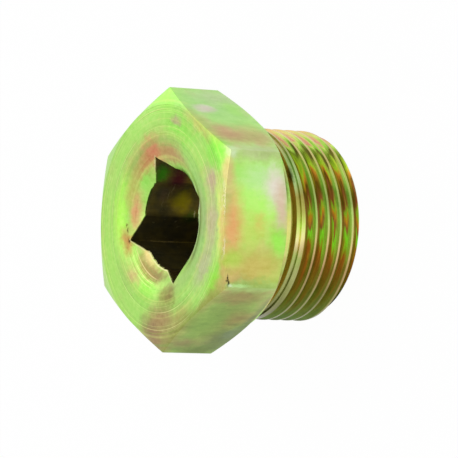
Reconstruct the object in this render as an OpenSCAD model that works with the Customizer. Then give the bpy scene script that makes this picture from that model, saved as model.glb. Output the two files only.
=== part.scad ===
/* [Hexagon head] */

// Wrench size across the flats
head_af = 23.6; // [23.2:0.1:24]
// Length of each corner edge between the two chamfers
corner_len = 5.85; // [4:0.05:8]
// Radius of the flat turned land on the front face
face_land_r = 11.77; // [10.5:0.01:11.79]
// Slope of the front chamfer, from the face
face_chamfer = 19; // [10:1:30]
// Radius of the round washer face under the head
washer_r = 11.25; // [10.6:0.05:11.6]
// Height of the washer face
washer_h = 0.55; // [0.2:0.05:0.8]
// Slope of the rear chamfer, from the washer face
back_chamfer = 31.5; // [25:0.5:45]

/* [Drive socket] */

// Side of the broached square for a 3/8 inch drive
square_side = 9.75; // [9.6:0.01:9.85]
// Turn of the square past the X axis, which the broach left uneven with the hexagon
square_turn = 2.4; // [-5:0.1:5]
// Depth of the square below the front face
square_depth = 11; // [9:0.1:12]
// Radius of the pilot hole drilled before broaching
pilot_r = 5.25; // [5.1:0.05:5.4]
// Depth of the full pilot hole below the front face
pilot_depth = 12.2; // [11:0.1:13]
// Included angle of the drill point
drill_point = 118; // [90:1:140]
// Radius where the rounded mouth meets the face
mouth_r = 8.73; // [8:0.01:9.5]
// Radius of the rounding from the face into the pilot hole
mouth_round = 6; // [4:0.1:8]
// Slope of the rounding where it leaves the face
mouth_slope = 2.5; // [1:0.5:10]

/* [Threaded shank] */

// Length from the washer face to the end
shank_len = 9.7; // [8:0.1:20]
// Crest diameter, M20 with its normal clearance
thread_d = 19.92; // [19.74:0.01:19.96]
// Thread pitch
pitch = 1.5; // [1:0.25:2]
// Width of the flat on each crest
crest_flat = 0.22; // [0.1:0.01:0.4]
// Depth of the groove
thread_depth = 0.92; // [0.8:0.01:0.95]
// Half of the included flank angle
flank = 30; // [25:0.5:30]
// Height of the groove above the end, at the +X corner, in the turn nearest the head
groove_z = 6.32; // [6:0.01:6.6]
// Angle past +X where the groove starts to run out
runout_from = 110; // [60:5:120]
// Angle over which it runs out
runout_sweep = 90; // [30:5:120]
// Diameter of the plain collar above the thread
collar_d = 19.6; // [19.4:0.01:19.7]
// Width of the plain collar
collar_w = 0.5; // [0.3:0.05:0.8]
// Radius of the undercut below the head
neck_r = 8.95; // [8.6:0.05:9]
// Width of the undercut
neck_w = 1.65; // [1.5:0.05:2.5]
// Leg of the small chamfer in the undercut's corner at the collar
neck_fillet = 0.3; // [0.1:0.05:0.5]
// Radius under the head, which ends outside the crests so that a washer lies flat
head_fillet = 1.05; // [1:0.05:1.2]
// Radius of the flat end
end_r = 9.35; // [8.5:0.05:9.5]
// Length of the end chamfer
end_chamfer = 0.8; // [0.5:0.05:2]

/* [Display] */

// Node to build

/* [Hidden] */

$fn = 144;
eps = 0.01;

// One turn of the groove is cut in this many steps
steps = 30;
// The cutters reach this far past the metal
clear = 0.6;

corner_r = head_af / sqrt(3);
face_chamfer_h = (corner_r - face_land_r) * tan(face_chamfer);
back_chamfer_h = (corner_r - washer_r) * tan(back_chamfer);
back_corner_z = shank_len + washer_h + back_chamfer_h;
front_corner_z = back_corner_z + corner_len;
top_z = front_corner_z + face_chamfer_h;

square_corner_r = square_side / sqrt(2);
mouth_axis_r = mouth_r + mouth_round * sin(mouth_slope);
mouth_axis_z = top_z - mouth_round * cos(mouth_slope);
point_h = pilot_r / tan(drill_point / 2);

thread_r = thread_d / 2;
root_r = thread_r - thread_depth;
collar_r = collar_d / 2;
neck_z = shank_len - neck_w;
collar_z = neck_z - collar_w;

// Half widths of the groove at the crest and at the root
open_half = (pitch - crest_flat) / 2;
root_half = open_half - thread_depth * tan(flank);
cut_half = open_half + clear * tan(flank);

// The groove starts one pitch below the end and climbs anticlockwise to its run-out
first_step = -ceil((groove_z + cut_half + 0.3) / pitch * steps);
last_step = ceil((runout_from + runout_sweep) * steps / 360);

// How much of its depth the groove has left at an angle
function left(a) = a < runout_from ? 1 : max(0, 1 - (a - runout_from) / runout_sweep);

// The groove's section at one step: its root pair, then its outer pair
function station(i) =
    let (a = i * 360 / steps,
         z = groove_z + pitch * a / 360,
         lift = (1 - left(a)) * (thread_depth + 0.05))
    [for (c = [[root_r + lift, -root_half], [root_r + lift, root_half],
               [thread_r + clear + lift, cut_half], [thread_r + clear + lift, -cut_half]])
        [c[0] * cos(a), c[0] * sin(a), z + c[1]]];

// The skin between two neighbouring sections
function skin(k) =
    [for (j = [0 : 3])
        let (p = 4 * k + j, q = 4 * k + (j + 1) % 4)
        each [[p, p + 4, q], [q, p + 4, q + 4]]];

module thread_groove() {
    points = [for (i = [first_step : last_step]) each station(i)];
    last = 4 * (last_step - first_step);
    faces = concat(
        [[0, 1, 2], [0, 2, 3]],
        [for (k = [0 : last_step - first_step - 1]) each skin(k)],
        [[last + 2, last + 1, last], [last + 3, last + 2, last]]);
    polyhedron(points = points, faces = faces, convexity = 10);
}

// Outline of the turned blank that the hexagon is milled from
module head_blank() {
    rotate_extrude()
        polygon([[0, shank_len], [washer_r, shank_len], [washer_r, shank_len + washer_h],
                 [corner_r + eps, back_corner_z + eps * tan(back_chamfer)],
                 [corner_r + eps, front_corner_z - eps * tan(face_chamfer)],
                 [face_land_r, top_z], [0, top_z]]);
}

module head() {
    intersection() {
        head_blank();
        translate([0, 0, shank_len - 1]) cylinder(r = corner_r, h = top_z - shank_len + 2, $fn = 6);
    }
}

// Thread blank, collar and undercut, turned in one pass
module shank_blank() {
    rotate_extrude()
        polygon([[0, 0], [end_r, 0], [thread_r, end_chamfer],
                 [thread_r, collar_z], [collar_r, collar_z], [collar_r, neck_z],
                 [neck_r + neck_fillet, neck_z], [neck_r, neck_z + neck_fillet],
                 each [for (a = [0 : 30 : 90]) [neck_r + head_fillet * (1 - cos(a)),
                                                shank_len - head_fillet * (1 - sin(a))]],
                 [neck_r + head_fillet, shank_len + 1], [0, shank_len + 1]]);
}

module shank() {
    difference() {
        shank_blank();
        thread_groove();
    }
}

module drive_socket() {
    translate([0, 0, top_z - pilot_depth]) cylinder(r = pilot_r, h = pilot_depth + 1);
    translate([0, 0, top_z - pilot_depth - point_h]) cylinder(r1 = 0, r2 = pilot_r, h = point_h);
    rotate([0, 0, square_turn])
        translate([-square_side / 2, -square_side / 2, top_z - square_depth])
            cube([square_side, square_side, square_depth + 1]);
    socket_mouth();
}

// The face is rounded down into the hole, so the cutter is a disc with a ring taken off its rim
module socket_mouth() {
    difference() {
        translate([0, 0, mouth_axis_z]) cylinder(r = mouth_axis_r, h = mouth_round + 1);
        rotate_extrude() translate([mouth_axis_r, mouth_axis_z]) circle(r = mouth_round);
    }
}

module drain_plug() {
    color("DarkKhaki")
    difference() {
        union() {
            head();
            shank();
        }
        drive_socket();
    }
}

drain_plug();
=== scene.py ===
"""Looks of a zinc-plated drain plug: one detailed turned mesh, its plating, and a soft pale studio.

The plug stands on its threaded end, with its axis along +Z and a corner of the hexagon on +X.
Sizes in the classes are millimetres and degrees; meshes are made in metres.
"""

import logging
import math
from dataclasses import dataclass, field
from enum import Enum
from typing import Any, Sequence

import bmesh
import bpy
import numpy as np
from mathutils import Matrix, Vector


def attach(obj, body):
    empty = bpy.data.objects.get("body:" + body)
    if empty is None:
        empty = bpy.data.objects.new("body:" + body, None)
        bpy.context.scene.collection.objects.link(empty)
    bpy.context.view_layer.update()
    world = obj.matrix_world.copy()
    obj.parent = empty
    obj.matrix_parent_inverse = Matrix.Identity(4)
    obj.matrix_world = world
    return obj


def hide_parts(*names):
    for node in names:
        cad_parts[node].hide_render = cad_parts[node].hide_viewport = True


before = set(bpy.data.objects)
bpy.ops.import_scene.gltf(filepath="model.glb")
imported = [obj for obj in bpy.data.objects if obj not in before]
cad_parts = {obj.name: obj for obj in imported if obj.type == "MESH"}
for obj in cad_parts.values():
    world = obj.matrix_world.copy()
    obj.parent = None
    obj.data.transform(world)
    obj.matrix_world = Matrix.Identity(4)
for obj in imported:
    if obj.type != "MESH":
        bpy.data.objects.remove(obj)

LOG = logging.getLogger("drain_plug")
MM = 0.001
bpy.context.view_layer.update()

Rows = list[np.ndarray]
Colour = tuple[float, float, float]
Pair = tuple[float, float]


# Shader maths

class Wire:
    """A value or colour on its way through the shader, with Python's operators as Math nodes."""

    def __init__(self, sheet: "Sheet", socket: bpy.types.NodeSocket) -> None:
        """Keeps the socket and the sheet that it is on."""
        self.sheet = sheet
        self.socket = socket

    def maths(self, operation: str, *others: Any) -> "Wire":
        """Adds a Math node that starts with this value.

        Args:
            operation: The Math node's operation.
            others: The node's other inputs, numbers or wires.

        Returns:
            The node's result.
        """
        return self.sheet.node("ShaderNodeMath", {"operation": operation},
                               {0: self, **{i + 1: o for i, o in enumerate(others)}})

    def reflected(self, operation: str, first: float) -> "Wire":
        """Adds a Math node in which a plain number comes first."""
        return self.sheet.node("ShaderNodeMath", {"operation": operation}, {0: first, 1: self})

    def __add__(self, other: Any) -> "Wire":
        """Sum."""
        return self.maths("ADD", other)

    def __radd__(self, other: float) -> "Wire":
        """Sum, number first."""
        return self.reflected("ADD", other)

    def __sub__(self, other: Any) -> "Wire":
        """Difference."""
        return self.maths("SUBTRACT", other)

    def __rsub__(self, other: float) -> "Wire":
        """Difference, number first."""
        return self.reflected("SUBTRACT", other)

    def __mul__(self, other: Any) -> "Wire":
        """Product."""
        return self.maths("MULTIPLY", other)

    def __rmul__(self, other: float) -> "Wire":
        """Product, number first."""
        return self.reflected("MULTIPLY", other)

    def __truediv__(self, other: Any) -> "Wire":
        """Quotient."""
        return self.maths("DIVIDE", other)

    def __rtruediv__(self, other: float) -> "Wire":
        """Quotient, number first."""
        return self.reflected("DIVIDE", other)

    def __pow__(self, other: Any) -> "Wire":
        """Power."""
        return self.maths("POWER", other)

    def __neg__(self) -> "Wire":
        """Opposite."""
        return self.maths("MULTIPLY", -1.0)

    def __abs__(self) -> "Wire":
        """Distance from zero."""
        return self.maths("ABSOLUTE")

    def most(self, other: Any) -> "Wire":
        """The larger of the two."""
        return self.maths("MAXIMUM", other)

    def least(self, other: Any) -> "Wire":
        """The smaller of the two."""
        return self.maths("MINIMUM", other)

    def rise(self, low: float, high: float, start: float = 0.0, end: float = 1.0) -> "Wire":
        """Goes smoothly from start to end while this value goes from low to high."""
        return self.sheet.node("ShaderNodeMapRange", {"interpolation_type": "SMOOTHSTEP"},
                               {0: self, 1: low, 2: high, 3: start, 4: end})


class Sheet:
    """A material's node tree, and the one way in which nodes are put on it."""

    def __init__(self, name: str) -> None:
        """Makes an empty material.

        Args:
            name: The material's name.
        """
        self.material = bpy.data.materials.new(name)
        self.material.use_nodes = True
        self.tree = self.material.node_tree
        self.tree.nodes.clear()

    def place(self, kind: str, settings: dict[str, Any], inputs: dict[Any, Any]) -> bpy.types.Node:
        """Adds a node: its settings first, then the values and links of its sockets.

        Args:
            kind: The node's type.
            settings: Attributes of the node; "stops" are a ramp's (place, colour) pairs.
            inputs: Values, colours, vectors or wires by the socket's index or name.

        Returns:
            The node.
        """
        made = self.tree.nodes.new(kind)
        for name, value in settings.items():
            if name == "stops":
                ramp = made.color_ramp
                while len(ramp.elements) < len(value):
                    ramp.elements.new(0.5)
                for element, (where, colour) in zip(ramp.elements, value):
                    element.position = where
                    element.color = (*colour, 1.0)
            else:
                setattr(made, name, value)
        for where, value in inputs.items():
            socket = made.inputs[where]
            if isinstance(value, Wire):
                self.tree.links.new(value.socket, socket)
            elif isinstance(value, tuple) and socket.type == "RGBA":
                socket.default_value = (*value, 1.0)
            else:
                socket.default_value = value
        return made

    def node(self, kind: str, settings: dict[str, Any], inputs: dict[Any, Any], out: Any = 0) -> Wire:
        """Adds a node as place() does and returns one of its outputs as a wire."""
        return Wire(self, self.place(kind, settings, inputs).outputs[out])

    def end_with(self, shader: bpy.types.Node) -> None:
        """Makes a shader node the material's surface."""
        end = self.place("ShaderNodeOutputMaterial", {}, {})
        self.tree.links.new(shader.outputs[0], end.inputs[0])

    def blend(self, share: Any, first: Any, second: Any, mode: str = "MIX") -> Wire:
        """Mixes two colours, or lays the second over the first in another mode."""
        return self.node("ShaderNodeMix", {"data_type": "RGBA", "blend_type": mode, "clamp_factor": True},
                         {0: share, 6: first, 7: second}, 2)

    def ramp(self, turn: Wire, stops: Sequence[tuple[float, str]]) -> Wire:
        """Turns a value into a colour by stops, which are pairs of a value and a screen colour."""
        return self.node("ShaderNodeValToRGB", {"stops": tuple((t, tint(c)) for t, c in stops)}, {0: turn})

    def vector(self, operation: str, first: Any, second: Any = None, out: int = 0) -> Wire:
        """Adds a Vector Math node."""
        inputs = {0: first} if second is None else {0: first, 1: second}
        return self.node("ShaderNodeVectorMath", {"operation": operation}, inputs, out)

    def join(self, x: Any, y: Any, z: Any) -> Wire:
        """Makes a vector of three values."""
        return self.node("ShaderNodeCombineXYZ", {}, {0: x, 1: y, 2: z})

    def split(self, where: Wire) -> tuple[Wire, Wire, Wire]:
        """Takes a vector apart."""
        parts = self.place("ShaderNodeSeparateXYZ", {}, {0: where})
        return Wire(self, parts.outputs[0]), Wire(self, parts.outputs[1]), Wire(self, parts.outputs[2])

    def noise(self, where: Wire, scale: float = 1.0, detail: float = 2.0, rough: float = 0.5,
              out: int = 0) -> Wire:
        """Adds smooth noise; output 0 is a value from 0 to 1 and output 1 a colour."""
        return self.node("ShaderNodeTexNoise", {"noise_dimensions": "3D"},
                         {"Vector": where, "Scale": scale, "Detail": detail, "Roughness": rough}, out)

    def shift(self, where: Wire, scale: float, detail: float) -> Wire:
        """Adds noise that goes both ways from zero along each axis, to bend a place with."""
        noise = self.noise(where, scale, detail, rough=0.6, out=1)
        return self.vector("SUBTRACT", noise, (0.5, 0.5, 0.5))


# Contour of the turned body

# Steps in each rounding, and the largest share of a run that a rounding may take
ARC_STEPS = 3
MOST_CUT = 0.45
# Guards against runs of no length and against corners that aren't corners
TINY = 1e-9
STRAIGHT = 0.9999


def softened(corners: Rows, radii: Sequence[float], parts: Sequence[int]) -> Rows:
    """Rounds a polyline's inner corners, column by column, and divides its long runs.

    Args:
        corners: The corners' (radius, height) pairs, one pair a column.
        radii: The rounding radius at each corner.
        parts: Into how many parts the run after each corner is divided.

    Returns:
        The rows of the rounded line.
    """
    rows: Rows = [corners[0]]
    last = len(corners) - 1
    for k in range(1, last + 1):
        arc = [corners[k]]
        if k < last and radii[k] > 0:
            back, ahead = corners[k - 1] - corners[k], corners[k + 1] - corners[k]
            long_b = np.linalg.norm(back, axis=1, keepdims=True) + TINY
            long_a = np.linalg.norm(ahead, axis=1, keepdims=True) + TINY
            cosine = (back * ahead).sum(1, keepdims=True) / long_b / long_a
            cut = radii[k] / np.tan(0.5 * np.arccos(np.clip(cosine, -STRAIGHT, STRAIGHT)))
            cut = np.minimum(cut, MOST_CUT * np.minimum(long_b, long_a))
            p, q = corners[k] + back / long_b * cut, corners[k] + ahead / long_a * cut
            arc = [(1 - t) ** 2 * p + 2 * t * (1 - t) * corners[k] + t * t * q
                   for t in np.linspace(0, 1, ARC_STEPS + 1)]
        start = rows[-1]
        count = parts[k - 1]
        rows += [start + (arc[0] - start) * (n / count) for n in range(1, count)]
        rows += arc
    return rows


@dataclass
class Contour:
    """The plug's outline in the half plane of each column, drawn corner by corner."""

    columns: int
    corners: Rows = field(default_factory=list)
    radii: list[float] = field(default_factory=list)
    parts: list[int] = field(default_factory=list)

    def to(self, radius: Any, height: Any, soften: float = 0.0, parts: int = 1) -> "Contour":
        """Goes on to a corner.

        Args:
            radius: The corner's radius, one number or one a column.
            height: Its height, one number or one a column.
            soften: The corner's rounding radius.
            parts: Into how many parts the run to the next corner is divided.

        Returns:
            The same contour.
        """
        pair = np.empty((self.columns, 2))
        pair[:, 0], pair[:, 1] = radius, height
        self.corners.append(pair)
        self.radii.append(soften)
        self.parts.append(parts)
        return self

    def rows(self) -> Rows:
        """The rounded rows of this contour."""
        return softened(self.corners, self.radii, self.parts)


def polygon(angle: np.ndarray, sides: int, half: float, corner_round: float) -> np.ndarray:
    """A regular polygon round the axis, with slightly rounded corners, one of them at angle 0.

    Args:
        angle: Angles in radians.
        sides: How many sides it has.
        half: The distance from the axis to a side.
        corner_round: The corners' rounding radius.

    Returns:
        The polygon's radius at each angle.
    """
    wedge = math.pi / sides
    off = np.abs((angle + wedge) % (2 * wedge) - wedge)
    flat = half / np.cos(wedge - off)
    centre = (half - corner_round) / math.cos(wedge)
    inside = np.clip(corner_round ** 2 - (centre * np.sin(off)) ** 2, 0, None)
    rounded = centre * np.cos(off) + np.sqrt(inside)
    turn = math.atan2(corner_round * math.sin(wedge), centre + corner_round * math.cos(wedge))
    return np.where(off < turn, rounded, flat)


# The burr's runs round the opening: how far each hangs in, its middle azimuth, and how far it spreads,
# and the power that makes each run fuller than a plain arch
BURRS = ((0.2, 268, 46), (0.2, 150, 22), (0.26, 32, 11), (0.1, 215, 14))
BURR_POWER = 0.7
# The waves that make it ragged: each one's count a turn and its phase, how much a later one loses,
# and how much of their full sum fills the range from 0 to 1
RAGGED_WAVES = ((41, 0.3), (67, 1.9), (97, 4.2), (23, 2.2), (151, 0.8))
WAVE_LOSS = 0.25
WAVE_FILL = 0.62
# The torn lip's corners from the wall and from the mouth's edge: a length and a share of the burr out,
# a length and a share of the burr up, and into how many parts the run after the corner is divided
TORN_LIP = ((0.0, 0.0, -0.55, -1.0, 2), (0.0, -0.1, -0.08, -0.5, 1),
            (0.0, -1.0, -0.04, -0.35, 1), (0.01, -0.75, 0.0, 0.02, 1))


def ragged(angle: np.ndarray) -> np.ndarray:
    """A ragged line round the axis, from 0 to 1, as a sum of fixed waves.

    Args:
        angle: Angles in radians.

    Returns:
        The line's value at each angle.
    """
    waves = enumerate(RAGGED_WAVES)
    total = sum(np.sin(count * angle + phase) / (1 + WAVE_LOSS * k) for k, (count, phase) in waves)
    return np.clip(0.5 + 0.5 * total / (WAVE_FILL * len(RAGGED_WAVES)), 0, 1)


def swell(angle: np.ndarray, middle: float, spread: float) -> np.ndarray:
    """A rounded swelling over a part of the turn.

    Args:
        angle: Angles in radians.
        middle: Where it is highest, in degrees.
        spread: How far from there it ends, in degrees.

    Returns:
        1 at the middle, 0 at its ends and beyond them.
    """
    away = np.abs((np.degrees(angle) - middle + 180) % 360 - 180) / spread
    return np.clip(1 - away * away, 0, 1) ** BURR_POWER


SHANK_LEN = 9.7


@dataclass(frozen=True)
class HexHead:
    """The hexagon head with its chamfers, turned face and round washer face.

    The ring of points at face_split_r only keeps the strips of the face even.
    """

    across_flats: float = 23.6
    corner_round: float = 0.2
    corner_len: float = 5.85
    face_land_r: float = 11.77
    face_slope: float = 19.0
    back_slope: float = 31.5
    washer_r: float = 11.25
    washer_z: float = SHANK_LEN
    washer_h: float = 0.55
    face_split_r: float = 9.58
    land_round: float = 0.5
    front_round: float = 0.1
    rear_round: float = 0.09
    step_round: float = 0.06

    @property
    def corner_r(self) -> float:
        """Radius of the hexagon's corners before they are rounded."""
        return self.across_flats / math.sqrt(3)

    @property
    def back_corner_z(self) -> float:
        """Height of the corner edges' lower ends."""
        rise = (self.corner_r - self.washer_r) * math.tan(math.radians(self.back_slope))
        return self.washer_z + self.washer_h + rise

    @property
    def face_z(self) -> float:
        """Height of the front face."""
        rise = (self.corner_r - self.face_land_r) * math.tan(math.radians(self.face_slope))
        return self.back_corner_z + self.corner_len + rise

    def draw(self, contour: Contour, angle: np.ndarray) -> None:
        """Draws the face outside the socket's mouth, the flats and the rear, down to the washer face.

        Args:
            contour: The contour, drawn up to the socket's mouth.
            angle: The columns' angles in radians.
        """
        rim = polygon(angle, 6, self.across_flats / 2, self.corner_round)
        front = self.face_z - (rim - self.face_land_r) * math.tan(math.radians(self.face_slope))
        back = self.back_corner_z - (self.corner_r - rim) * math.tan(math.radians(self.back_slope))
        contour.to(self.face_split_r, self.face_z, parts=3)
        contour.to(self.face_land_r, self.face_z, soften=self.land_round, parts=2)
        contour.to(rim, front, soften=self.front_round, parts=6)
        contour.to(rim, back, soften=self.rear_round, parts=2)
        contour.to(self.washer_r, self.washer_z + self.washer_h, soften=self.step_round)
        contour.to(self.washer_r, self.washer_z, soften=self.rear_round, parts=2)


@dataclass(frozen=True)
class DriveSocket:
    """The pilot hole, the broached square with its burrs, and the rounded mouth.

    Depths are measured from the face. The burr's torn lip takes up the mouth's first lip_end.
    """

    face_z: float
    side: float = 9.75
    turn: float = 2.4
    depth: float = 11.0
    corner_round: float = 0.1
    edge_round: float = 0.05
    pilot_r: float = 5.25
    pilot_depth: float = 12.2
    drill_point: float = 118.0
    mouth_r: float = 8.73
    mouth_round: float = 6.0
    mouth_slope: float = 2.5
    mouth_steps: int = 12
    lip_width: float = 0.05
    lip_rise: float = 0.12
    lip_end: float = 0.12
    even_share: float = 0.35
    ragged_share: float = 0.9

    @property
    def mouth_axis(self) -> Pair:
        """Finds the middle of the mouth's rounding.

        Returns:
            Its radius and its height.
        """
        slope = math.radians(self.mouth_slope)
        return (self.mouth_r + self.mouth_round * math.sin(slope),
                self.face_z - self.mouth_round * math.cos(slope))

    def wall(self, angle: np.ndarray) -> np.ndarray:
        """The wall's radius at each angle: the square where it is outside the pilot hole."""
        square = polygon(angle - math.radians(self.turn + 45), 4, self.side / 2, self.corner_round)
        return np.maximum(square, self.pilot_r)

    def mouth(self, radius: np.ndarray) -> np.ndarray:
        """The mouth's height at each radius: a round run from the face into the hole."""
        axis_r, axis_z = self.mouth_axis
        return axis_z + np.sqrt(self.mouth_round ** 2 - (axis_r - radius) ** 2)

    def burr(self, angle: np.ndarray) -> np.ndarray:
        """How far the broach's ragged burr hangs into the hole at each angle."""
        hang = sum(most * swell(angle, middle, spread) for most, middle, spread in BURRS)
        return hang * (self.even_share + self.ragged_share * ragged(angle))

    def draw(self, contour: Contour, angle: np.ndarray) -> None:
        """Draws the socket from the drill point's tip up to the face.

        Args:
            contour: The contour, still empty.
            angle: The columns' angles in radians.
        """
        wall = self.wall(angle)
        rim_z = self.mouth(wall)
        hang = self.burr(angle)
        floor_z = self.face_z - self.depth
        pilot_z = self.face_z - self.pilot_depth
        tip_z = pilot_z - self.pilot_r / math.tan(math.radians(self.drill_point / 2))
        contour.to(0.0, tip_z, parts=3)
        contour.to(self.pilot_r, pilot_z, soften=self.edge_round, parts=2)
        contour.to(self.pilot_r, floor_z)
        contour.to(wall, floor_z, soften=self.edge_round, parts=8)
        for out, out_share, up, up_share, parts in TORN_LIP:
            contour.to(wall + out + out_share * hang, rim_z + up + up_share * hang, parts=parts)
        lip_r = wall + self.lip_width
        contour.to(lip_r, self.mouth(lip_r) + self.lip_rise * hang)
        start_r = wall + self.lip_end
        for share in np.linspace(0, 1, self.mouth_steps + 1)[1:]:
            radius = start_r + (self.mouth_r - start_r) * share
            contour.to(radius, self.mouth(radius))


# Where the thread's rows lie over one pitch, closer at the edges of the crest and of the root
THREAD_SHARES = (0.0, 0.036, 0.072, 0.09, 0.15, 0.22, 0.29, 0.36, 0.415, 0.46, 0.5,
                 0.54, 0.585, 0.64, 0.71, 0.78, 0.86, 0.925)


@dataclass(frozen=True)
class ThreadedShank:
    """The undercut, the plain collar, the right-hand thread and the chamfered end.

    The groove is cut to depth, and lifts clear of the crests over the sweep of its run-out.
    """

    length: float = SHANK_LEN
    head_fillet: float = 1.05
    fillet_steps: int = 6
    neck_r: float = 8.95
    neck_w: float = 1.65
    neck_round: float = 0.25
    collar_r: float = 9.8
    collar_w: float = 0.5
    collar_round: float = 0.06
    thread_r: float = 9.96
    pitch: float = 1.5
    turns: int = 6
    crest_flat: float = 0.22
    depth: float = 0.92
    flank: float = 30.0
    groove_z: float = 6.32
    runout_from: float = 110.0
    runout_sweep: float = 90.0
    runout_clear: float = 0.05
    end_r: float = 9.35
    end_chamfer: float = 0.8
    end_round: float = 0.05
    end_split_r: float = 5.0

    @property
    def neck_z(self) -> float:
        """Height of the undercut's lower side."""
        return self.length - self.neck_w

    @property
    def collar_z(self) -> float:
        """Height of the collar's lower side, where the thread starts."""
        return self.neck_z - self.collar_w

    def draw(self, contour: Contour) -> None:
        """Draws the undercut and the collar, down to where the thread starts.

        Args:
            contour: The contour, drawn down to the washer face.
        """
        middle_r = self.neck_r + self.head_fillet
        middle_z = self.length - self.head_fillet
        for turn in np.radians(np.linspace(90, 0, self.fillet_steps + 1)):
            contour.to(middle_r - self.head_fillet * math.cos(turn),
                       middle_z + self.head_fillet * math.sin(turn))
        contour.to(self.neck_r, self.neck_z, soften=self.neck_round, parts=2)
        contour.to(self.collar_r, self.neck_z, soften=self.collar_round)
        contour.to(self.collar_r, self.collar_z)

    def skin(self, angle: np.ndarray, height: np.ndarray) -> np.ndarray:
        """The thread's radius, where the groove and the end chamfer have cut the round bar.

        Args:
            angle: The columns' angles in radians.
            height: A height for each column.

        Returns:
            The radius for each column.
        """
        slope = math.tan(math.radians(self.flank))
        half = (self.pitch - self.crest_flat) / 2
        cut = np.zeros_like(height)
        for turn in range(-self.turns, 1):
            whole = angle + 2 * math.pi * turn
            away = np.abs(height - self.groove_z - self.pitch * whole / (2 * math.pi))
            left = np.clip(1 - (np.degrees(whole) - self.runout_from) / self.runout_sweep, 0, 1)
            lift = (1 - left) * (self.depth + self.runout_clear)
            deep = np.minimum(self.depth, (half - away) / slope) - lift
            cut = np.maximum(cut, deep)
        thread = self.thread_r - cut
        blank = self.end_r + (self.thread_r - self.end_r) * height / self.end_chamfer
        blank = np.minimum(blank, self.thread_r)
        near = np.clip(0.5 + 0.5 * (thread - blank) / self.end_round, 0, 1)
        return thread * (1 - near) + blank * near - self.end_round * near * (1 - near)

    def thread(self, angle: np.ndarray) -> Rows:
        """Draws the thread in rows that climb with the helix, held between the collar and the end.

        Args:
            angle: The columns' angles in radians.

        Returns:
            The rows from the collar down.
        """
        above = math.floor((self.collar_z - self.groove_z) / self.pitch + 2)
        start = self.groove_z + (0.5 + above) * self.pitch
        rows: Rows = []
        for turn in range(self.turns + 1):
            for share in THREAD_SHARES:
                climb = angle / (2 * math.pi) - 1 - turn - share
                height = np.clip(start + self.pitch * climb, 0, self.collar_z)
                rows.append(np.stack([self.skin(angle, height), height], 1))
        return rows

    def end(self, columns: int) -> Rows:
        """The rows of the flat end, from its rim to the axis."""
        contour = Contour(columns).to(self.end_r, 0.0, parts=2)
        return contour.to(self.end_split_r, 0.0).to(0.0, 0.0).rows()


@dataclass
class DrainPlug:
    """The whole plug as one closed mesh, its parts drawn as rows of one contour."""

    head: HexHead = field(default_factory=HexHead)
    shank: ThreadedShank = field(default_factory=ThreadedShank)
    columns: int = 360
    hexagon_fan: tuple[float, ...] = (-0.45, -0.22, 0.0, 0.22, 0.45)
    square_fan: tuple[float, ...] = (-0.55, -0.28, 0.0, 0.28, 0.55)
    weld: float = 0.002
    least_edge: float = 0.001
    sharp_angle: float = 38.0
    fairness: int = 60

    @property
    def socket(self) -> DriveSocket:
        """The drive socket, sunk from the head's face."""
        return DriveSocket(self.head.face_z)

    def angles(self) -> np.ndarray:
        """Chooses the columns: even ones, and closer ones at the hexagon's and the square's corners.

        Returns:
            The columns' angles in radians, over a whole turn.
        """
        every = list(np.linspace(0, 360, self.columns + 1))
        every += [corner + off for corner in range(0, 361, 60) for off in self.hexagon_fan]
        every += [corner + self.socket.turn + off for corner in range(45, 360, 90) for off in self.square_fan]
        return np.radians(sorted({round(float(a), 4) for a in every if 0 <= a <= 360}))

    def skin(self) -> tuple[np.ndarray, np.ndarray]:
        """Works out the plug's surface as a grid of columns and rows.

        Returns:
            The points in metres, and the four point numbers of each face.
        """
        angle = self.angles()
        contour = Contour(len(angle))
        self.socket.draw(contour, angle)
        self.head.draw(contour, angle)
        self.shank.draw(contour)
        rows = contour.rows() + self.shank.thread(angle) + self.shank.end(len(angle))
        grid = np.stack(rows, 1)
        count = grid.shape[1]
        x = grid[..., 0] * np.cos(angle)[:, None]
        y = grid[..., 0] * np.sin(angle)[:, None]
        points = np.stack([x, y, grid[..., 1]], -1).reshape(-1, 3) * MM
        first = np.arange(len(angle) - 1)[:, None] * count + np.arange(count - 1)[None, :]
        faces = np.stack([first, first + 1, first + 1 + count, first + count], -1).reshape(-1, 4)
        return points, faces

    def build(self) -> bpy.types.Object:
        """Makes the mesh.

        Returns:
            The plug's object, in the row's frame.
        """
        points, faces = self.skin()
        mesh = bpy.data.meshes.new("drain_plug_skin")
        mesh.from_pydata(points.tolist(), [], faces.tolist())
        work = bmesh.new()
        work.from_mesh(mesh)
        bmesh.ops.remove_doubles(work, verts=work.verts, dist=self.weld * MM)
        bmesh.ops.dissolve_degenerate(work, edges=work.edges, dist=self.least_edge * MM)
        work.to_mesh(mesh)
        open_edges = sum(1 for e in work.edges if len(e.link_faces) != 2)
        volume = work.calc_volume(signed=True) / MM ** 3
        work.free()
        LOG.info("skin: %d faces, %d open edges, %.0f mm3", len(mesh.polygons), open_edges, volume)
        mesh.shade_smooth()
        mesh.set_sharp_from_angle(angle=math.radians(self.sharp_angle))
        plug = bpy.data.objects.new("plated_plug", mesh)
        bpy.context.scene.collection.objects.link(plug)
        fair = plug.modifiers.new("fair_normals", "WEIGHTED_NORMAL")
        fair.keep_sharp = True
        fair.weight = self.fairness
        return plug

    def dress(self, plug: bpy.types.Object, material: bpy.types.Material) -> None:
        """Gives the plug its plating and ties it to the frame.

        Args:
            plug: The plug's object.
            material: The plating.
        """
        plug.data.materials.append(material)
        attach(plug, "root")
        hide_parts("drain_plug")


# Finish

def tint(code: str) -> Colour:
    """Turns a six-figure screen colour into a scene colour, by the sRGB curve.

    Args:
        code: Red, green and blue as two hexadecimal figures each.

    Returns:
        The linear colour.
    """
    parts = [int(code[k:k + 2], 16) / 255 for k in (0, 2, 4)]
    red, green, blue = (c / 12.92 if c < 0.04045 else ((c + 0.055) / 1.055) ** 2.4 for c in parts)
    return red, green, blue


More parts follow.
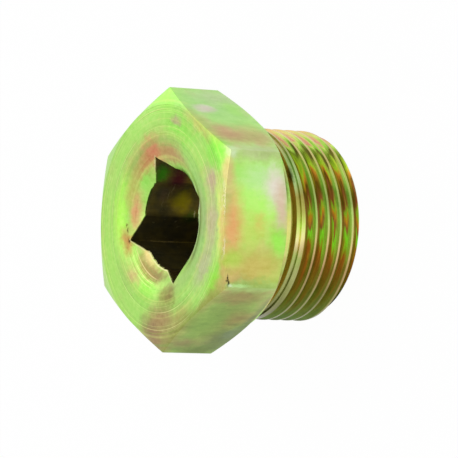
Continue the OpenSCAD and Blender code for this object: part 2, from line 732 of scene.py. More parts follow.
@dataclass(frozen=True)
class Place:
    """A place on the plug in millimetres and radians, with masks of the plug's regions.

    The azimuth goes from -180 to 180 degrees and west from 0 to 360. The helix is the height
    that is left when the thread's climb is taken off. Sunk is the depth below the rounded mouth,
    and hole the distance outside the socket's opening, which is less than 0 within it.
    """

    spot: Wire
    hole: Wire
    radius: Wire
    azimuth: Wire
    z: Wire
    sunk: Wire
    west: Wire
    helix: Wire
    face: Wire
    bore: Wire
    shank: Wire

    def sector(self, start: float, full: float, fading: float, end: float) -> Wire:
        """1 from one azimuth to another, in radians, with a soft start and a soft end."""
        return self.west.rise(start, full) * self.west.rise(end, fading)


class Grid(Enum):
    """How a patch's place is measured."""

    EAST = "round the axis, from -180 to 180 degrees"
    WEST = "round the axis, from 0 to 360 degrees"
    FLAT_30 = "square to the flat at 30 degrees"
    FLAT_90 = "square to the flat at 90 degrees"
    FLAT_330 = "square to the flat at 330 degrees"


FLATS = {30.0: Grid.FLAT_30, 90.0: Grid.FLAT_90, 330.0: Grid.FLAT_330}
# Between these azimuths a patch is placed on the western grid, whose seam at 0 is far from it
WEST_FROM, WEST_TO = 80.0, 280.0
# Where a patch starts to show and where it is full, in shares of its half sizes
PATCH_EDGE, PATCH_CORE = 1.3, 0.15
# Half size of a flat's patch square to the flat
FLAT_REACH = 1.2


@dataclass(frozen=True)
class ColourPatch:
    """A soft-edged patch of one colour: an interference colour in the plating, or a painted highlight or
    painted shade.

    Its place is given in a frame that is turned round the axis to an azimuth: out from the
    axis, to the left of that direction, and up, and its half sizes go the same three ways.
    """

    colour: str
    azimuth: float
    place: tuple[float, float, float]
    size: tuple[float, float, float]
    share: float = 0.85
    flat: bool = False

    def lay(self, sheet: Sheet, grids: dict[Grid, Wire], under: Wire) -> Wire:
        """Lays the patch over a colour.

        Args:
            sheet: The material's sheet.
            grids: The place on the plug, measured in each way.
            under: The colour below.

        Returns:
            The colour with the patch in it.
        """
        out, left, up = self.place
        if self.flat:
            grid, middle, size = FLATS[self.azimuth], self.place, self.size
        else:
            angle = (self.azimuth + math.degrees(left / out)) % 360
            grid = Grid.WEST if WEST_FROM < angle < WEST_TO else Grid.EAST
            angle = angle - 360 if grid is Grid.EAST and angle > 180 else angle
            middle = (out, math.radians(angle), up)
            size = (self.size[0], self.size[1] / out, self.size[2])
        local = sheet.node("ShaderNodeVectorMath", {"operation": "MULTIPLY_ADD"}, {
            0: grids[grid], 1: tuple(1 / s for s in size), 2: tuple(-m / s for m, s in zip(middle, size))})
        away = sheet.vector("LENGTH", local, out=1)
        return sheet.blend(away.rise(PATCH_EDGE, PATCH_CORE, 0.0, self.share), under, tint(self.colour))


def on_flat(colour: str, azimuth: float, left: float, up: float, wide: float, high: float,
            share: float = 0.85) -> ColourPatch:
    """Makes a patch on one of the hexagon's flats.

    Args:
        colour: Its screen colour.
        azimuth: The direction that the flat faces, in degrees.
        left: How far its middle lies to the left of the flat's own.
        up: The height of its middle.
        wide: Half its width.
        high: Half its height.
        share: How much of it shows.

    Returns:
        The patch.
    """
    return ColourPatch(colour, azimuth, (HexHead.across_flats / 2, left, up), (FLAT_REACH, wide, high), share, True)


# From this spread on a ring goes all round, and a shorter one is full within this share of its spread
ALL_ROUND = 180.0
FULL_SHARE = 0.6


@dataclass(frozen=True)
class Ring:
    """A fine turned ring on the front face, all round or over a sector of it."""

    radius: float
    width: float
    colour: str
    share: float
    azimuth: float = 180.0
    spread: float = 360.0

    def line(self, at: Place, spare: float = 0.0) -> Wire:
        """How much of the ring shows.

        Args:
            at: The place on the plug.
            spare: Widening of the ring, in millimetres.

        Returns:
            The share, strongest on the ring's middle.
        """
        line = abs(at.radius - self.radius).rise(self.width + spare, 0.0) * self.share
        if self.spread < ALL_ROUND:
            turn = abs(at.west - math.radians(self.azimuth))
            line = line * turn.rise(math.radians(self.spread), math.radians(self.spread * FULL_SHARE))
        return line * at.face


DRIFT_STOPS = (
    (0.3, "a0d066"), (0.42, "b0e870"), (0.52, "aee26c"), (0.6, "c6cc7c"), (0.68, "ccae78"), (0.8, "a89860"))
PLAIN = ColourPatch("aee26c", 190.0, (8.0, 0.0, 18.5), (9.0, 25.0, 2.6), 0.9)
FACE_STAINS_AND_LIGHT = (
    ColourPatch("bcf67c", 138, (11.6, 0.0, 18.0), (1.8, 4.5, 1.0), 0.6),
    ColourPatch("b2ec60", 225, (11.6, 0.0, 18.0), (2.2, 6.5, 1.0), 0.35),
    ColourPatch("a88c60", 298, (12.2, 0.0, 18.0), (2.6, 3.6, 1.5), 0.95),
    ColourPatch("ae9060", 303, (10.2, 0.0, 18.0), (1.8, 3.4, 1.5), 0.9),
    ColourPatch("8c7a40", 311, (7.9, 0.0, 17.8), (1.6, 2.4, 1.2), 0.97),
    ColourPatch("92d850", 279, (7.9, 0.0, 17.8), (1.4, 2.4, 1.0), 0.95),
    ColourPatch("9a8450", 281, (5.9, 0.0, 17.4), (1.0, 2.8, 1.2), 0.97),
    ColourPatch("a4cc68", 340, (7.4, 0.0, 17.8), (1.8, 3.4, 1.2), 0.8),
    ColourPatch("a2cc70", 30, (7.6, 0.0, 17.8), (1.4, 5.8, 1.2), 0.85),
    # Painted light on the near side of the mouth, where it slopes into the hole
    ColourPatch("d4ecb0", 30, (5.9, 0.0, 17.3), (0.9, 5.0, 1.0), 0.9),
    ColourPatch("bec292", 0, (9.6, 0.0, 18.1), (1.4, 3.2, 1.0), 0.9),
    ColourPatch("c8bc94", 28, (9.6, 0.0, 18.1), (1.5, 3.4, 1.0), 0.9),
    ColourPatch("cab094", 52, (10.0, 0.0, 18.1), (1.4, 2.0, 1.0), 0.9),
    ColourPatch("e0f480", 30, (11.2, 0.0, 18.1), (0.7, 4.8, 1.0), 0.95),
    ColourPatch("a0ea50", 358, (11.7, 0.0, 18.0), (1.4, 2.2, 1.0), 0.95),
    ColourPatch("d4b474", 1, (12.9, 0.0, 17.9), (0.9, 2.0, 1.0), 0.8),
    ColourPatch("bcb06c", 343, (12.2, 0.0, 18.0), (0.9, 3.6, 1.0), 0.75),
    ColourPatch("a89c60", 318, (12.1, 0.0, 18.0), (2.0, 3.4, 1.3), 0.95),
    ColourPatch("b8a860", 325, (10.7, 0.0, 18.0), (1.3, 2.6, 1.0), 0.6),
    ColourPatch("98785a", 291, (11.5, 0.0, 18.0), (1.5, 2.2, 1.0), 0.7),
    ColourPatch("dcb070", 12, (12.6, 0.0, 18.0), (1.0, 1.8, 1.0), 0.9),
    ColourPatch("88e448", 66, (11.9, 0.0, 18.0), (1.7, 2.3, 1.0), 0.95),
    ColourPatch("d2cc6c", 88, (11.6, 0.0, 18.1), (0.7, 3.2, 1.0), 0.85),
    ColourPatch("92ea54", 100, (9.8, 0.0, 18.1), (1.6, 3.4, 1.0), 0.8),
    ColourPatch("acf264", 119, (12.5, 0.0, 18.0), (1.9, 2.6, 1.0), 0.95),
    ColourPatch("bcac84", 107, (10.3, 0.0, 18.1), (0.6, 1.3, 1.0), 0.85),
    ColourPatch("c49c70", 138, (7.5, 0.0, 17.8), (2.3, 5.4, 1.5), 0.55),
    ColourPatch("c09460", 112, (6.7, 0.0, 17.7), (1.2, 4.0, 1.2), 0.9),
    ColourPatch("d88c68", 140, (7.5, 0.0, 17.8), (1.7, 2.3, 1.2), 1.0),
    ColourPatch("c88e5e", 153, (6.9, 0.0, 17.7), (1.4, 2.6, 1.2), 0.9),
    ColourPatch("b8b868", 166, (8.2, 0.0, 17.9), (1.4, 2.4, 1.2), 0.8),
    ColourPatch("98e45c", 165, (6.0, 0.0, 17.3), (0.7, 1.5, 0.9), 0.8),
    ColourPatch("b4f25e", 205, (8.3, 0.0, 17.9), (1.3, 5.4, 1.0), 0.95),
    ColourPatch("dcc484", 250, (5.4, 0.0, 17.0), (0.7, 2.6, 1.3), 0.9),
    ColourPatch("c8bc68", 184, (7.0, 0.0, 17.7), (0.9, 2.4, 1.0), 0.8),
    ColourPatch("d8a470", 201, (6.1, 0.0, 17.5), (0.8, 2.5, 0.9), 0.97),
    ColourPatch("b88a50", 228, (7.3, 0.0, 17.8), (1.0, 1.8, 1.2), 0.95),
    ColourPatch("a6c866", 251, (8.3, 0.0, 17.9), (1.6, 3.0, 1.0), 0.85),
    ColourPatch("c0a070", 257, (7.8, 0.0, 17.9), (0.7, 1.6, 1.0), 0.75),
    ColourPatch("a89454", 262, (6.1, 0.0, 17.5), (0.8, 2.5, 1.0), 0.9),
)
FLAT_STAINS_AND_SHADE = (
    on_flat("c4ff7c", 30, 1.8, 14.4, 5.4, 4.0, 0.95),
    on_flat("c6f0a8", 30, 4.2, 14.0, 1.8, 3.0, 0.7),
    on_flat("ccdc68", 30, -1.2, 15.0, 2.4, 3.0, 0.75),
    on_flat("dcd06c", 30, -0.4, 13.9, 1.3, 0.8, 0.7),
    on_flat("ecb476", 30, -0.6, 17.3, 4.6, 1.6, 0.97),
    on_flat("dcc484", 30, 4.4, 17.8, 3.2, 0.9, 0.85),
    on_flat("ece2d2", 30, 3.4, 12.1, 2.4, 1.7, 0.95),
    on_flat("e2c6ae", 30, 1.4, 11.3, 3.2, 1.0, 0.9),
    on_flat("d0c268", 30, -4.7, 14.3, 2.5, 5.0, 0.95),
    on_flat("b8dc5c", 30, -4.0, 17.3, 1.2, 1.6, 0.8),
    on_flat("a4f45c", 30, -2.0, 11.6, 1.6, 1.4, 0.95),
    on_flat("ccf290", 30, -6.9, 14.6, 0.7, 4.4, 0.95),
    on_flat("c8e894", 30, 6.5, 14.4, 1.0, 3.6, 0.8),
    on_flat("a6dc7c", 90, 3.0, 14.5, 5.4, 5.0, 0.9),
    on_flat("bccc98", 90, 4.8, 12.8, 2.2, 3.2, 0.6),
    on_flat("d4ccb8", 90, 2.3, 15.8, 1.1, 1.5, 0.95),
    on_flat("a0e060", 90, 2.4, 12.2, 1.8, 1.4, 0.8),
    on_flat("c09c68", 90, -3.3, 15.6, 2.6, 3.4, 0.95),
    on_flat("bcb468", 90, -3.4, 12.4, 2.6, 2.4, 0.85),
    on_flat("bccc8c", 90, -6.6, 14.0, 1.4, 4.5, 0.9),
    # The flat at 330 degrees: darker olive plating, and painted shade that darkens that whole side
    on_flat("84943f", 330, 0.0, 14.5, 9.0, 5.5, 1.0),
    on_flat("80a440", 330, -0.2, 15.9, 4.4, 2.2, 0.85),
    on_flat("967c44", 330, 4.8, 15.0, 1.8, 3.6, 0.75),
    on_flat("908040", 330, 0.2, 12.6, 2.0, 1.6, 0.75),
    on_flat("66743a", 330, -4.2, 12.2, 3.4, 2.2, 0.9),
    on_flat("70805c", 330, -2.6, 11.8, 1.4, 1.0, 0.7),
    on_flat("887446", 330, -4.8, 16.2, 1.4, 2.0, 0.75),
    on_flat("66782c", 330, -6.4, 14.2, 1.5, 3.4, 0.85),
    on_flat("9cb860", 330, 6.6, 14.4, 0.8, 4.0, 0.7),
    on_flat("64743c", 330, -1.0, 10.9, 7.0, 0.7, 0.75),
)
SOCKET_STAINS = (
    ColourPatch("74f040", 152, (5.7, 0.0, 16.3), (1.6, 0.9, 1.0), 0.97),
    ColourPatch("8c3c58", 157, (5.4, 0.0, 14.1), (1.5, 1.5, 1.1), 0.95),
    ColourPatch("a08c6c", 178, (5.3, 0.0, 15.0), (1.5, 1.3, 0.9), 0.85),
    ColourPatch("e4dc38", 185, (5.2, 0.0, 12.7), (1.5, 1.5, 1.3), 0.95),
    ColourPatch("5c8c3c", 204, (5.2, 0.0, 11.1), (1.5, 0.9, 1.3), 0.85),
    ColourPatch("947040", 295, (5.3, 0.0, 16.0), (1.5, 2.2, 1.4), 0.8),
)
# Small marks: nicks, scratches and lines, and among them painted highlights and painted shade, each noted
# below
MARKS_AND_PAINTED_LIGHT = (
    ColourPatch("f0f0e4", 47.4, (6.6, -0.6, 17.5), (0.35, 0.5, 1.0), 0.9),
    ColourPatch("3c2c0c", 218.7, (6.98, 0.0, 17.8), (0.1, 0.28, 0.6), 0.9),
    ColourPatch("3c2c0c", 223.5, (6.95, 0.55, 17.8), (0.09, 0.35, 0.6), 0.9),
    ColourPatch("54400f", 214.0, (7.1, 0.0, 17.8), (0.12, 0.2, 0.6), 0.7),
    on_flat("10100a", 30, -6.0, 17.6, 0.42, 0.13, 1.0),
    on_flat("10100a", 30, -6.5, 17.48, 0.42, 0.13, 1.0),
    # Painted highlight beside the nick
    on_flat("ecf0dc", 30, -6.74, 17.2, 0.14, 0.3, 0.7),
    # Painted highlights along the front edge of the flat at 30 degrees
    on_flat("fcf0d8", 30, -2.9, 18.06, 1.4, 0.06, 0.4),
    on_flat("f8ecc8", 30, 1.6, 18.12, 2.4, 0.06, 0.5),
    ColourPatch("d8cc9c", 170, (5.25, 0.0, 14.25), (0.5, 0.55, 0.09), 0.8),
    ColourPatch("d8cc9c", 178, (5.25, 0.0, 14.5), (0.5, 0.55, 0.09), 0.7),
    ColourPatch("c8bc8c", 190, (5.25, 0.0, 14.95), (0.5, 0.5, 0.08), 0.6),
    ColourPatch("f0f0e4", 200, (5.25, 0.0, 10.8), (0.5, 0.4, 0.12), 0.9),
    ColourPatch("c4b480", 227.6, (6.86, 0.0, 13.6), (0.3, 0.09, 2.6), 0.8),
    # Painted highlight at the hexagon's corner at 60 degrees, on both sides of it
    on_flat("e0f4cc", 30, 6.5, 17.3, 0.5, 0.5, 0.6),
    ColourPatch("dcf0c0", 61.5, (13.4, 0.0, 17.3), (0.6, 0.6, 0.9), 0.45),
    # Painted shade in the undercut under the head
    ColourPatch("2c2c14", 60.0, (9.6, 0.0, 8.05), (0.5, 1.2, 0.3), 0.85),
    # Painted highlight along the washer face's rim
    ColourPatch("ece484", 26, (11.4, 0.0, 10.1), (0.6, 3.6, 0.9), 0.9),
    ColourPatch("5c6828", 50, (11.6, 0.0, 10.25), (0.9, 3.2, 0.5), 0.9),
    # Painted highlight along the hexagon's corner at 0 degrees
    on_flat("ccf8a8", 30, -6.72, 16.2, 0.22, 1.5, 0.6),
    ColourPatch("b08c60", 356, (11.4, 0.0, 10.1), (0.6, 2.8, 0.9), 0.8),
)
# Rings that are cut into the face, and rings that only show at the mouth
FACE_RINGS = (
    Ring(11.72, 0.05, "86a83c", 0.6), Ring(11.34, 0.05, "f0f09c", 0.65), Ring(11.24, 0.05, "9a9a48", 0.5),
    Ring(10.98, 0.04, "e8e490", 0.4), Ring(9.72, 0.04, "8ca848", 0.4), Ring(9.56, 0.05, "ecf09c", 0.65),
    Ring(9.46, 0.05, "90984a", 0.5), Ring(8.98, 0.04, "e0e890", 0.4), Ring(8.75, 0.05, "94b450", 0.45),
)
MOUTH_RINGS = (
    Ring(7.3, 0.05, "f0e898", 0.7, 262.0, 30.0), Ring(7.12, 0.05, "94743c", 0.6, 262.0, 30.0),
    Ring(6.85, 0.06, "f4e49c", 0.75, 262.0, 30.0), Ring(6.62, 0.06, "8c6c38", 0.65, 262.0, 30.0),
    Ring(6.3, 0.06, "f0e0a0", 0.75, 258.0, 34.0), Ring(6.1, 0.05, "946c3c", 0.6, 200.0, 14.0),
    Ring(5.9, 0.05, "f0d0a0", 0.6, 200.0, 14.0),
)
# Colours round the shank, by the share of a turn from the far side: the groove's root, its flanks,
# the crests' edges, the crests, and the collar. Besides the plating's colours they hold painted
# highlights and painted shade, such as the dark root stops from 0.7 to 0.725
ROOT_STOPS = (
    (0.0, "7c7440"), (0.25, "80783c"), (0.32, "4c5024"), (0.36, "586828"), (0.45, "5c581c"),
    (0.52, "7c5c1c"), (0.56, "8c7c2c"), (0.6, "8c6430"), (0.64, "645014"), (0.67, "8c8424"),
    (0.7, "644814"), (0.725, "4c3810"), (0.745, "6c8c2c"), (0.78, "a4b450"), (0.82, "b89c64"),
    (0.9, "948c50"), (1.0, "7c7440"))
STREAK_STOPS = (
    (0.0, "8c8044"), (0.25, "8c8440"), (0.36, "5c7428"), (0.44, "6c6420"), (0.505, "945c24"),
    (0.53, "b8682c"), (0.545, "98d038"), (0.56, "98f040"), (0.572, "a06048"), (0.59, "e09434"),
    (0.605, "a0c83c"), (0.625, "a0583c"), (0.65, "6c5418"), (0.672, "dc8c3c"), (0.69, "b4d43c"),
    (0.72, "707c28"), (0.745, "b0d05c"), (0.765, "c48470"), (0.82, "c4a070"), (0.9, "a09858"),
    (1.0, "8c8044"))
LIP_STOPS = (
    (0.0, "909050"), (0.25, "8c9450"), (0.32, "545c2c"), (0.36, "5c7430"), (0.45, "6c7028"),
    (0.5, "84742c"), (0.55, "9cb048"), (0.6, "90b44c"), (0.635, "74943c"), (0.66, "8cb04c"),
    (0.69, "909c3c"), (0.71, "5c5420"), (0.73, "54501c"), (0.745, "80b03c"), (0.77, "b8c868"),
    (0.82, "d4b474"), (0.9, "a0a860"), (1.0, "909050"))
CREST_STOPS = (
    (0.0, "a8a468"), (0.25, "a09c60"), (0.32, "78784c"), (0.37, "88885c"), (0.45, "9c9464"),
    (0.51, "c09c70"), (0.55, "ecd094"), (0.59, "c8e080"), (0.63, "a4b468"), (0.67, "b8c068"),
    (0.72, "e0d088"), (0.77, "e4c090"), (0.9, "b0a870"), (1.0, "a8a468"))
COLLAR_STOPS = (
    (0.0, "a09c68"), (0.25, "80804c"), (0.34, "646438"), (0.42, "787844"), (0.46, "949858"),
    (0.494, "a8ac6c"), (0.525, "a8b864"), (0.545, "d8c488"), (0.557, "f8f0a0"), (0.578, "d8f07c"),
    (0.6, "b8b85c"), (0.625, "a0984c"), (0.653, "a8c47c"), (0.694, "a0b870"), (0.736, "b8b070"),
    (0.82, "c8bc80"), (1.0, "a09c68"))
# The same five with the share of the streaks' drift that each takes
SHANK_BANDS = (
    (ROOT_STOPS, 0.6), (STREAK_STOPS, 1.0), (LIP_STOPS, 0.8), (CREST_STOPS, 0.5), (COLLAR_STOPS, 0.3))


@dataclass(frozen=True)
class Plating:
    """Yellow-green iridescent chromate on turned and milled steel, with some highlights and shade painted
    into its colour.

    A pair of lengths or of azimuths says where a region starts and where it is full.
    """

    plug: DrainPlug
    name: str = "chromated_steel"

    patch_bend: tuple[float, float, float] = (1.8, 1.8, 1.2)
    fine_bend: tuple[float, float, float] = (0.3, 0.3, 0.3)
    overlay_bend: tuple[float, float, float] = (0.35, 0.35, 0.35)

    face_above: Pair = (17.0, 17.6)
    bore_within: Pair = (8.0, 7.2)
    bore_below_mouth: Pair = (0.06, 0.3)
    bore_above_end: Pair = (1.0, 2.0)
    shank_below: Pair = (9.75, 9.6)
    shank_outside: Pair = (7.8, 8.2)
    flats_above: Pair = (11.0, 11.4)

    light_band: str = "e0ec84"
    dark_band: str = "84b858"
    band_share: float = 0.34

    flank_outside: Pair = (9.1, 9.3)
    lip_outside: Pair = (9.5, 9.78)
    crest_outside: Pair = (9.9, 9.955)
    crest_share: float = 0.85
    collar_outside: Pair = (9.7, 9.78)
    above_helix: Pair = (6.9, 7.0)
    neck_above: Pair = (7.7, 7.8)
    neck_within: Pair = (9.78, 9.72)
    facing_down: Pair = (-0.3, -0.7)
    neck: str = "c0a460"
    underside: str = "d4e4a0"
    drift: float = 0.13

    bare_dark: str = "807c5c"
    bare_light: str = "b4a458"
    shade: str = "2c2820"
    shade_share: float = 0.6
    shade_sector: tuple[float, float, float, float] = (3.42, 3.6, 5.5, 5.7)
    shade_above: Pair = (7.0, 8.0)
    broach_line: str = "c8c090"
    broach_share: float = 0.35

    torn: str = "d8d498"
    torn_share: float = 0.85
    torn_side: tuple[float, float, float, float] = (3.93, 3.99, 5.5, 5.56)
    torn_corner: tuple[float, float, float, float] = (2.37, 2.4, 2.56, 2.62)
    torn_corner_share: float = 0.8
    torn_width: Pair = (0.08, 0.03)
    torn_depth: Pair = (0.24, 0.14)
    torn_above: Pair = (15.5, 16.0)

    turned_depth: float = 0.007
    milled_depth: float = 0.007
    spun_depth: float = 0.01
    grain_depth: float = 0.004
    ring_depth: float = 0.012
    ring_spare: float = 0.02

    tone_share: float = 0.35
    matt_within: Pair = (6.8, 5.6)
    matt_above_bore: Pair = (0.2, 0.1)
    matt_loss: float = 0.7
    bore_loss: float = 0.15
    smooth: float = 0.24
    mottled: float = 0.12
    matt_rough: float = 0.4

    def grids(self, sheet: Sheet, where: Wire) -> dict[Grid, Wire]:
        """Measures a place in each way that stains are placed by.

        Args:
            sheet: The material's sheet.
            where: The place in millimetres.

        Returns:
            Its coordinates on each grid.
        """
        x, y, z = sheet.split(where)
        radius, east = (x * x + y * y) ** 0.5, y.maths("ARCTAN2", x)
        west = (-y).maths("ARCTAN2", -x) + math.pi
        made = {Grid.EAST: sheet.join(radius, east, z), Grid.WEST: sheet.join(radius, west, z)}
        for degrees, grid in FLATS.items():
            across, along = math.cos(math.radians(degrees)), math.sin(math.radians(degrees))
            made[grid] = sheet.join(x * across + y * along, y * across - x * along, z)
        return made

    def measure(self, sheet: Sheet) -> tuple[dict[Grid, Wire], dict[Grid, Wire], Place]:
        """Measures the place on the plug.

        Args:
            sheet: The material's sheet.

        Returns:
            The patches' grids, bent by broad and fine noise; the grids of the small marks and painted
            lights, bent by fine noise alone; and the place itself.
        """
        socket = self.plug.socket
        spot = sheet.node("ShaderNodeTexCoord", {}, {}, "Object")
        spot = sheet.vector("MULTIPLY", spot, (1 / MM, 1 / MM, 1 / MM))
        x, y, z = sheet.split(spot)
        radius = (x * x + y * y) ** 0.5
        azimuth = y.maths("ARCTAN2", x)
        axis_r, axis_z = socket.mouth_axis
        away = axis_r - radius
        sunk = axis_z + (socket.mouth_round ** 2 - away * away).most(0.0) ** 0.5 - z
        bend = sheet.shift(spot, 0.8, 3.0)
        fine = sheet.shift(spot, 3.5, 2.0)
        warped = sheet.vector("ADD", spot, sheet.vector("MULTIPLY", bend, self.patch_bend))
        warped = sheet.vector("ADD", warped, sheet.vector("MULTIPLY", fine, self.fine_bend))
        finely_bent = sheet.vector("ADD", spot, sheet.vector("MULTIPLY", fine, self.overlay_bend))
        cos, sin = math.cos(math.radians(socket.turn)), math.sin(math.radians(socket.turn))
        side = abs(x * cos + y * sin).most(abs(y * cos - x * sin)) - socket.side / 2
        at = Place(
            spot=spot, hole=side.least(radius - socket.pilot_r), radius=radius, azimuth=azimuth, z=z,
            sunk=sunk, west=(-y).maths("ARCTAN2", -x) + math.pi,
            helix=z - azimuth * (self.plug.shank.pitch / (2 * math.pi)), face=z.rise(*self.face_above),
            bore=(sunk.rise(*self.bore_below_mouth) * radius.rise(*self.bore_within)
                  * z.rise(*self.bore_above_end)),
            shank=z.rise(*self.shank_below) * radius.rise(*self.shank_outside))
        return self.grids(sheet, warped), self.grids(sheet, finely_bent), at

    def head(self, sheet: Sheet, grids: dict[Grid, Wire], at: Place) -> Wire:
        """Colours the head: drifting interference colours under the colour patches and turned rings; among
        the patches are a painted highlight at the mouth and painted shade on the flat at 330 degrees.

        Args:
            sheet: The material's sheet.
            grids: The place measured for the patches.
            at: The place on the plug.

        Returns:
            The colour.
        """
        drift = sheet.noise(at.spot, scale=0.16) * 0.45 + sheet.noise(at.spot, 0.33, 3.0, 0.55) * 0.55
        colour = sheet.ramp(drift, DRIFT_STOPS)
        for patch in (PLAIN,) + FACE_STAINS_AND_LIGHT + FLAT_STAINS_AND_SHADE:
            colour = patch.lay(sheet, grids, colour)
        banded = sheet.join(at.radius * 1.3, at.azimuth.maths("SINE") * 0.3, 0.0)
        band = sheet.noise(banded, detail=3.0, rough=0.65)
        colour = sheet.blend(band.rise(0.52, 0.66) * at.face * self.band_share, colour, tint(self.light_band))
        colour = sheet.blend(band.rise(0.46, 0.34) * at.face * self.band_share, colour, tint(self.dark_band))
        worn = sheet.noise(sheet.join(at.azimuth * 1.6, at.radius * 0.3, 0.0)).rise(0.35, 0.6)
        for ring in FACE_RINGS + MOUTH_RINGS:
            colour = sheet.blend(ring.line(at) * worn, colour, tint(ring.colour))
        return colour

    def thread(self, sheet: Sheet, at: Place) -> Wire:
        """Colours the shank: streaks along the grooves, paler crests, the collar and the undercut, with
        painted highlights and painted shade in the colours round the turn.

        Args:
            sheet: The material's sheet.
            at: The place on the plug.

        Returns:
            The colour.
        """
        streak = sheet.join(at.radius * 3.0, at.helix * 1.4, at.azimuth * 2.4)
        drift = (sheet.noise(streak) - 0.5) * self.drift
        bands = []
        for stops, share in SHANK_BANDS:
            bands.append(sheet.ramp(at.azimuth / (2 * math.pi) + 0.5 + drift * share, stops))
        root, flank, lip, crest, collar = bands
        colour = sheet.blend(at.radius.rise(*self.flank_outside), root, flank)
        colour = sheet.blend(at.radius.rise(*self.lip_outside), colour, lip)
        colour = sheet.blend(at.radius.rise(*self.crest_outside) * self.crest_share, colour, crest)
        on_collar = at.radius.rise(*self.collar_outside) * at.helix.rise(*self.above_helix)
        colour = sheet.blend(on_collar, colour, collar)
        in_neck = at.z.rise(*self.neck_above) * at.radius.rise(*self.neck_within)
        colour = sheet.blend(in_neck, colour, tint(self.neck))
        down = sheet.split(sheet.node("ShaderNodeNewGeometry", {}, {}, "Normal"))[2]
        return sheet.blend(down.rise(*self.facing_down), colour, tint(self.underside))

    def inside(self, sheet: Sheet, grids: dict[Grid, Wire], at: Place) -> Wire:
        """Colours the socket's inside: nearly bare dark steel with traces of plating.

        Args:
            sheet: The material's sheet.
            grids: The place measured for the stains.
            at: The place on the plug.

        Returns:
            The colour.
        """
        patchy = sheet.noise(at.spot, scale=0.5, detail=3.0).rise(0.3, 0.7)
        colour = sheet.blend(patchy, tint(self.bare_dark), tint(self.bare_light))
        for patch in SOCKET_STAINS:
            colour = patch.lay(sheet, grids, colour)
        shaded = at.sector(*self.shade_sector) * at.z.rise(*self.shade_above)
        colour = sheet.blend(shaded * self.shade_share, colour, tint(self.shade))
        lines = sheet.noise(sheet.join(at.azimuth * 18.0, at.z * 1.5, 0.0)).rise(0.66, 0.72)
        return sheet.blend(lines * self.broach_share, colour, tint(self.broach_line))

    def burr(self, sheet: Sheet, at: Place, under: Wire) -> Wire:
        """Lays the bright edge that the broach left along two sides of the square.

        Args:
            sheet: The material's sheet.
            at: The place on the plug.
            under: The colour below.

        Returns:
            The colour with the edge in it.
        """
        side = at.sector(*self.torn_side)
        corner = at.sector(*self.torn_corner)
        ragged_share = sheet.noise(at.spot, scale=2.2).rise(0.3, 0.5)
        edge = at.hole.rise(*self.torn_width) * at.sunk.rise(*self.torn_depth)
        edge = edge * at.face.most(at.z.rise(*self.torn_above))
        share = edge * (side + corner * self.torn_corner_share) * ragged_share * self.torn_share
        return sheet.blend(share, under, tint(self.torn))

    def height(self, sheet: Sheet, at: Place, grain: Wire) -> Wire:
        """Works out the height of the tool marks.

        Args:
            sheet: The material's sheet.
            at: The place on the plug.
            grain: The metal's fine grain, from 0 to 1.

        Returns:
            The height in millimetres.
        """
        turned = sheet.noise(sheet.join(at.radius * 3.0, 0.0, 0.0), detail=4.0, rough=0.7)
        milled = sheet.noise(sheet.join(at.azimuth * 30.0, at.z * 0.35, 0.0), detail=3.0, rough=0.6)
        spun = sheet.join(at.radius * 4.0, at.helix * 6.0, at.azimuth * 0.6)
        spun = sheet.noise(spun, detail=3.0, rough=0.6)
        flats = (1.0 - at.face) * at.z.rise(*self.flats_above)
        high = turned * self.turned_depth * at.face + milled * self.milled_depth * flats
        high = high + spun * self.spun_depth * at.shank + grain * self.grain_depth
        for ring in FACE_RINGS:
            high = high - ring.line(at, self.ring_spare) * self.ring_depth
        return high

    def tone(self, sheet: Sheet, at: Place, grain: Wire) -> tuple[Wire, Wire]:
        """Works out how the brightness varies with grain, brushing and mottling.

        Args:
            sheet: The material's sheet.
            at: The place on the plug.
            grain: The metal's fine grain, from 0 to 1.

        Returns:
            The brightness, around a half, and the mottling alone.
        """
        brushed = sheet.join(at.azimuth * (16.0 - at.shank * 13.0), at.z * 0.5 + at.helix * at.shank * 2.0,
                             at.radius * (2.2 + at.shank * 4.0))
        brush = sheet.noise(brushed, detail=3.0, rough=0.6)
        mottle = sheet.noise(at.spot, scale=1.6, detail=3.0, rough=0.65)
        tone = 0.5 + (grain - 0.5) * 0.5 + (brush - 0.5) * (1.3 + at.shank * 0.6) + (mottle - 0.5) * 0.7
        return tone, mottle

    def build(self) -> bpy.types.Material:
        """Makes the material.

        Returns:
            The plating.
        """
        sheet = Sheet(self.name)
        soft, sharp, at = self.measure(sheet)
        colour = sheet.blend(at.shank, self.head(sheet, soft, at), self.thread(sheet, at))
        colour = self.burr(sheet, at, sheet.blend(at.bore, colour, self.inside(sheet, soft, at)))
        for overlay in MARKS_AND_PAINTED_LIGHT:
            colour = overlay.lay(sheet, sharp, colour)
        grain = sheet.noise(at.spot, scale=7.0, detail=3.0, rough=0.7)
        tone, mottle = self.tone(sheet, at, grain)
        colour = sheet.blend(self.tone_share, colour, sheet.join(tone, tone, tone), "SOFT_LIGHT")
        matt = at.radius.rise(*self.matt_within) * at.face * at.sunk.rise(*self.matt_above_bore)
        bump = sheet.node("ShaderNodeBump", {}, {
            "Strength": 1.0, "Distance": MM, "Height": self.height(sheet, at, grain)})
        sheet.end_with(sheet.place("ShaderNodeBsdfPrincipled", {}, {
            "Base Color": colour, "Metallic": 1.0 - matt * self.matt_loss - at.bore * self.bore_loss,
            "Roughness": self.smooth + mottle * self.mottled + matt * self.matt_rough, "Normal": bump}))
        return sheet.material


# Studio

@dataclass(frozen=True)
class Lamp:
    """A square soft lamp that points at the plug, in metres and watts."""

    name: str
    place: tuple[float, float, float]
    power: float
    size: float = 1.0

    def hang(self) -> None:
        """Puts the lamp in its place."""
        data = bpy.data.lights.new(self.name, "AREA")
        data.size, data.energy = self.size, self.power
        lamp = bpy.data.objects.new(self.name, data)
        lamp.location = self.place
        lamp.rotation_mode = "QUATERNION"
        lamp.rotation_quaternion = Vector(self.place).to_track_quat("Z", "Y")
        bpy.context.scene.collection.objects.link(lamp)


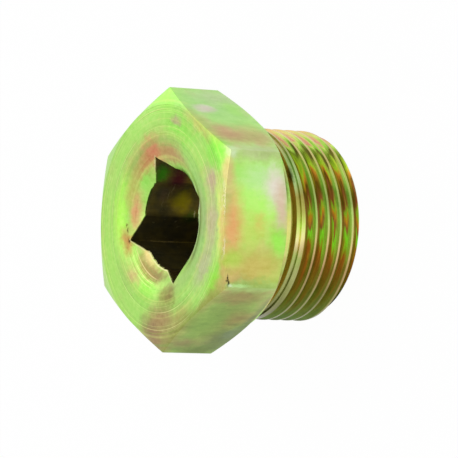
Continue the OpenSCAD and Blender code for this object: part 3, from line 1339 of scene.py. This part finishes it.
@dataclass(frozen=True)
class Studio:
    """Pale floor, soft lamps, and the camera at the photograph's angle.

    The camera's values come from the fit to the photograph. It stands at a distance from aim, a
    point on the plug's axis, which lies at aim_px in a picture that is frame_px wide.
    """

    aim: tuple[float, float, float] = (0.0, 0.0, 17.5556)
    back: tuple[float, float, float] = (0.74764, 0.39438, 0.53433)
    up: tuple[float, float, float] = (-0.48829, 0.87177, 0.03977)
    distance: float = 368.3
    focal_px: float = 3600.4
    aim_px: Pair = (166.15, 219.6)
    frame_px: float = 458.0
    sensor: float = 36.0
    clip: Pair = (0.01, 10.0)
    floor_size: float = 1500.0
    floor_gap: float = 0.02
    floor_tone: float = 0.8
    floor_white: float = 0.97
    world_tone: float = 0.9
    lamps: tuple[Lamp, ...] = (Lamp("key", (0.1, 0.5, 0.9), 2.0), Lamp("fill", (-0.7, 0.2, 0.6), 1.6))

    def camera(self) -> None:
        """Puts the camera where the photograph was taken from, turned so that no shift is needed."""
        back = Vector(self.back).normalized()
        right = Vector(self.up).cross(back).normalized()
        up = back.cross(right)
        side = (self.frame_px / 2 - self.aim_px[0]) / self.focal_px
        rise = (self.aim_px[1] - self.frame_px / 2) / self.focal_px
        place = (Vector(self.aim) + back * self.distance) * MM
        axis = (back - right * side - up * rise).normalized()
        level = (right - axis * right.dot(axis)).normalized()
        turned = Matrix((level, axis.cross(level), axis)).transposed().to_4x4()
        data = bpy.data.cameras.new("camera")
        data.sensor_width = self.sensor
        data.lens = self.focal_px / self.frame_px * self.sensor
        data.clip_start, data.clip_end = self.clip
        camera = bpy.data.objects.new("camera", data)
        camera.matrix_world = Matrix.Translation(place) @ turned
        bpy.context.scene.collection.objects.link(camera)
        bpy.context.scene.camera = camera

    def floor(self) -> None:
        """Lays the pale floor, which the camera and the plug's metal see as white."""
        size = self.floor_size * MM
        mesh = bpy.data.meshes.new("floor")
        mesh.from_pydata([(-size, -size, 0), (size, -size, 0), (size, size, 0), (-size, size, 0)],
                         [], [(0, 1, 2, 3)])
        floor = bpy.data.objects.new("floor", mesh)
        floor.location.z = -self.floor_gap * MM
        bpy.context.scene.collection.objects.link(floor)
        sheet = Sheet("pale_floor")
        matt = sheet.place("ShaderNodeBsdfDiffuse", {}, {"Color": (self.floor_tone,) * 3})
        white = sheet.place("ShaderNodeEmission", {}, {"Color": (1.0, 1.0, 1.0), "Strength": 1.0})
        path = sheet.place("ShaderNodeLightPath", {}, {})
        seen = Wire(sheet, path.outputs["Is Camera Ray"]) + Wire(sheet, path.outputs["Is Glossy Ray"])
        seen = seen + Wire(sheet, path.outputs["Is Transmission Ray"])
        mix = sheet.place("ShaderNodeMixShader", {}, {0: seen.least(1.0) * self.floor_white})
        sheet.tree.links.new(matt.outputs[0], mix.inputs[1])
        sheet.tree.links.new(white.outputs[0], mix.inputs[2])
        sheet.end_with(mix)
        floor.data.materials.append(sheet.material)

    def world(self) -> None:
        """Sets the plain world light."""
        world = bpy.data.worlds.new("studio")
        bpy.context.scene.world = world
        world.use_nodes = True
        background = world.node_tree.nodes["Background"]
        background.inputs["Color"].default_value = (self.world_tone, self.world_tone, self.world_tone, 1.0)
        background.inputs["Strength"].default_value = 1.0

    def build(self) -> None:
        """Sets up the whole studio."""
        bpy.context.scene.view_settings.view_transform = "Standard"
        self.camera()
        self.floor()
        self.world()
        for lamp in self.lamps:
            lamp.hang()


def main() -> None:
    """Builds the plug, its finish and the studio in order."""
    logging.basicConfig(level=logging.INFO, format="%(message)s")
    plug = DrainPlug()
    piece = plug.build()
    plug.dress(piece, Plating(plug).build())
    LOG.info("built %s", piece.name)
    Studio().build()


if __name__ == "__main__":
    main()
